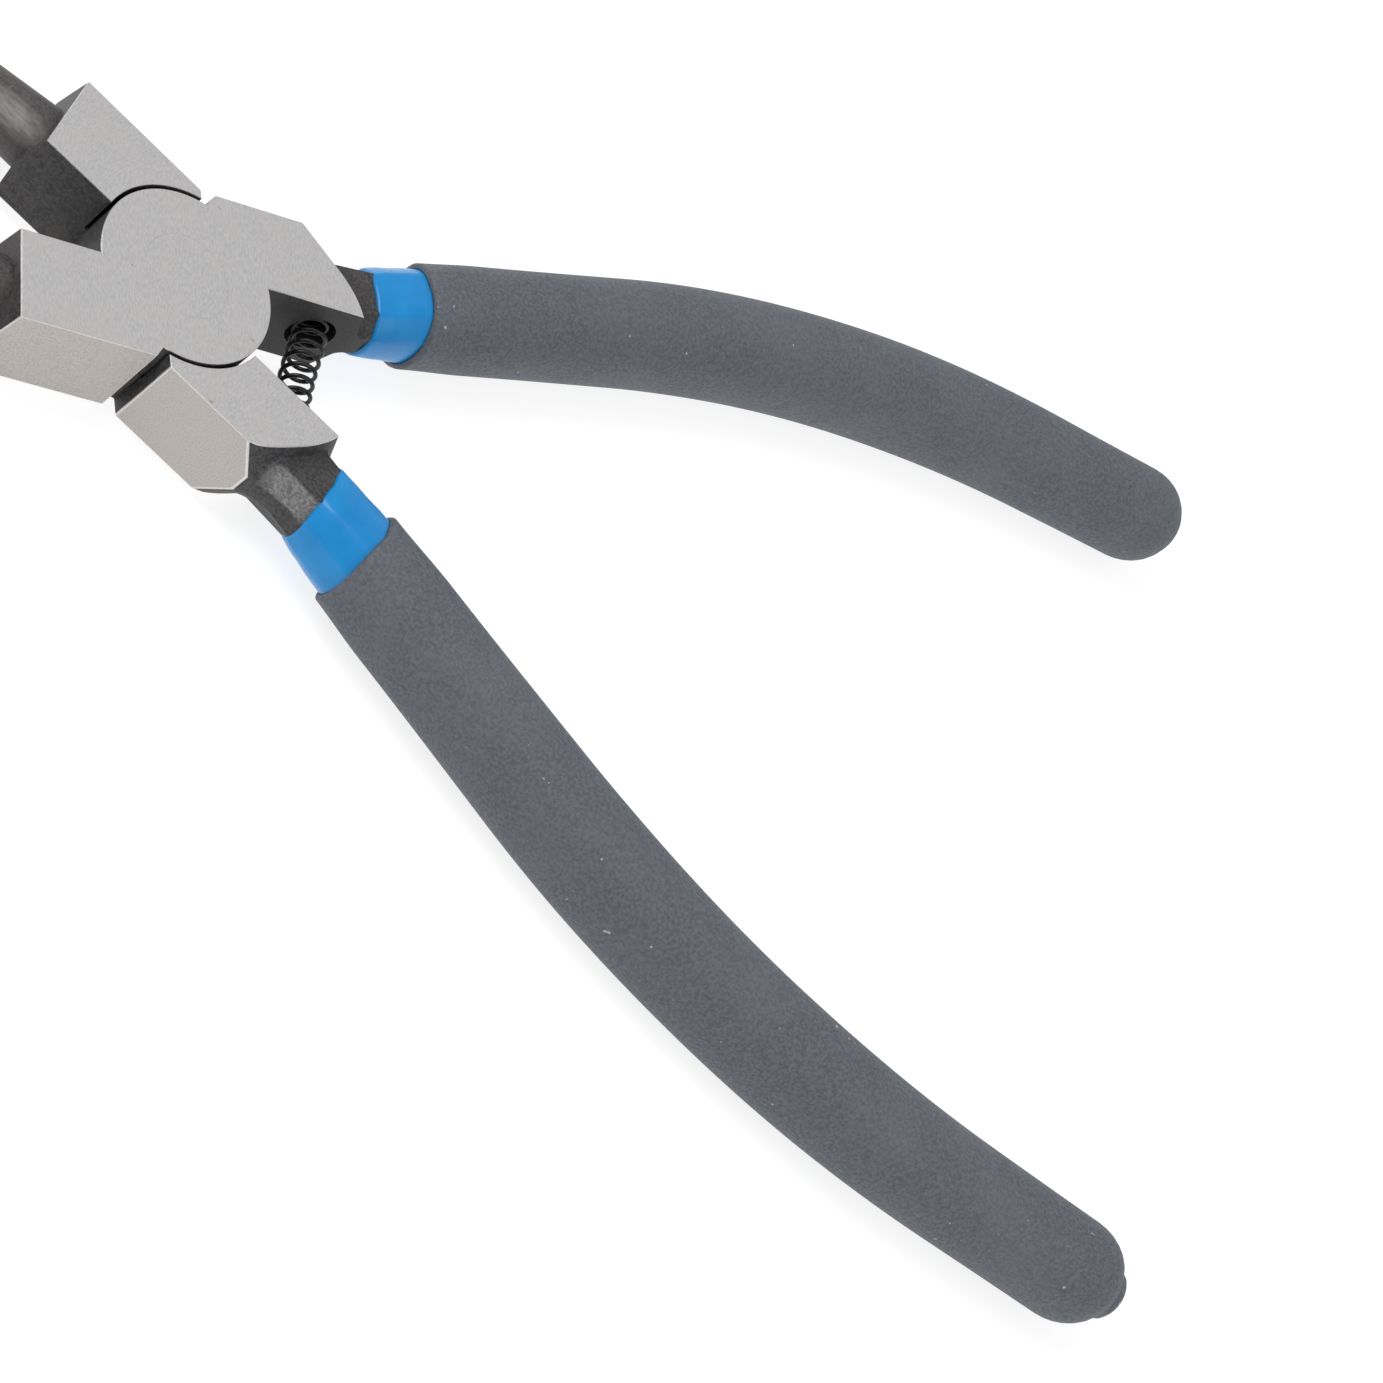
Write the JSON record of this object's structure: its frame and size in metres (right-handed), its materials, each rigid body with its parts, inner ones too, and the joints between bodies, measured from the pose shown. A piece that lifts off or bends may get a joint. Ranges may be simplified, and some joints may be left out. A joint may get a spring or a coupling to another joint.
{
  "type": "internal straight circlip pliers",
  "caption": "Spring-opened pliers with a half-lap joint, square ground head, straight tapered round noses with tip pins, and dipped plastic grips.",
  "frame": {"origin": "on the pivot axis, at the flush underside of the pivot rivet, in the ground underside of the head", "axes": "+Z along the pivot towards the upper side, +X along the pliers from the pivot towards the grips, halfway between them, +Y towards the front half's grip"},
  "size_m": [0.1676, 0.106, 0.0118],
  "materials": {
    "forged_steel": "ground bright on the head's flat outer faces, black phosphate on the noses, the inner faces and the necks",
    "rivet_steel": "ground flush with the head",
    "pin_steel": "hardened, plain turned",
    "spring_wire": "black oxide music wire",
    "blue_dip": "glossy soft vinyl dip",
    "grey_dip": "matt textured soft vinyl dip"
  },
  "bodies": {
    "back_half": {"back_half_forging": "forged_steel", "back_tip_pin": "pin_steel", "back_inner_sleeve": "blue_dip", "back_outer_grip": "grey_dip", "pivot_rivet": "rivet_steel", "return_spring": "spring_wire"},
    "front_half": {"front_half_forging": "forged_steel", "front_tip_pin": "pin_steel", "front_inner_sleeve": "blue_dip", "front_outer_grip": "grey_dip"}
  },
  "joints": [
    {"name": "pivot", "type": "hinge", "parent": "back_half", "child": "front_half", "pos_m": [0, 0, 0], "axis": [0, 0, -1], "range_deg": [-4, 36], "stiffness_Nm_per_rad": 0.25, "deforming": ["return_spring"]}
  ]
}
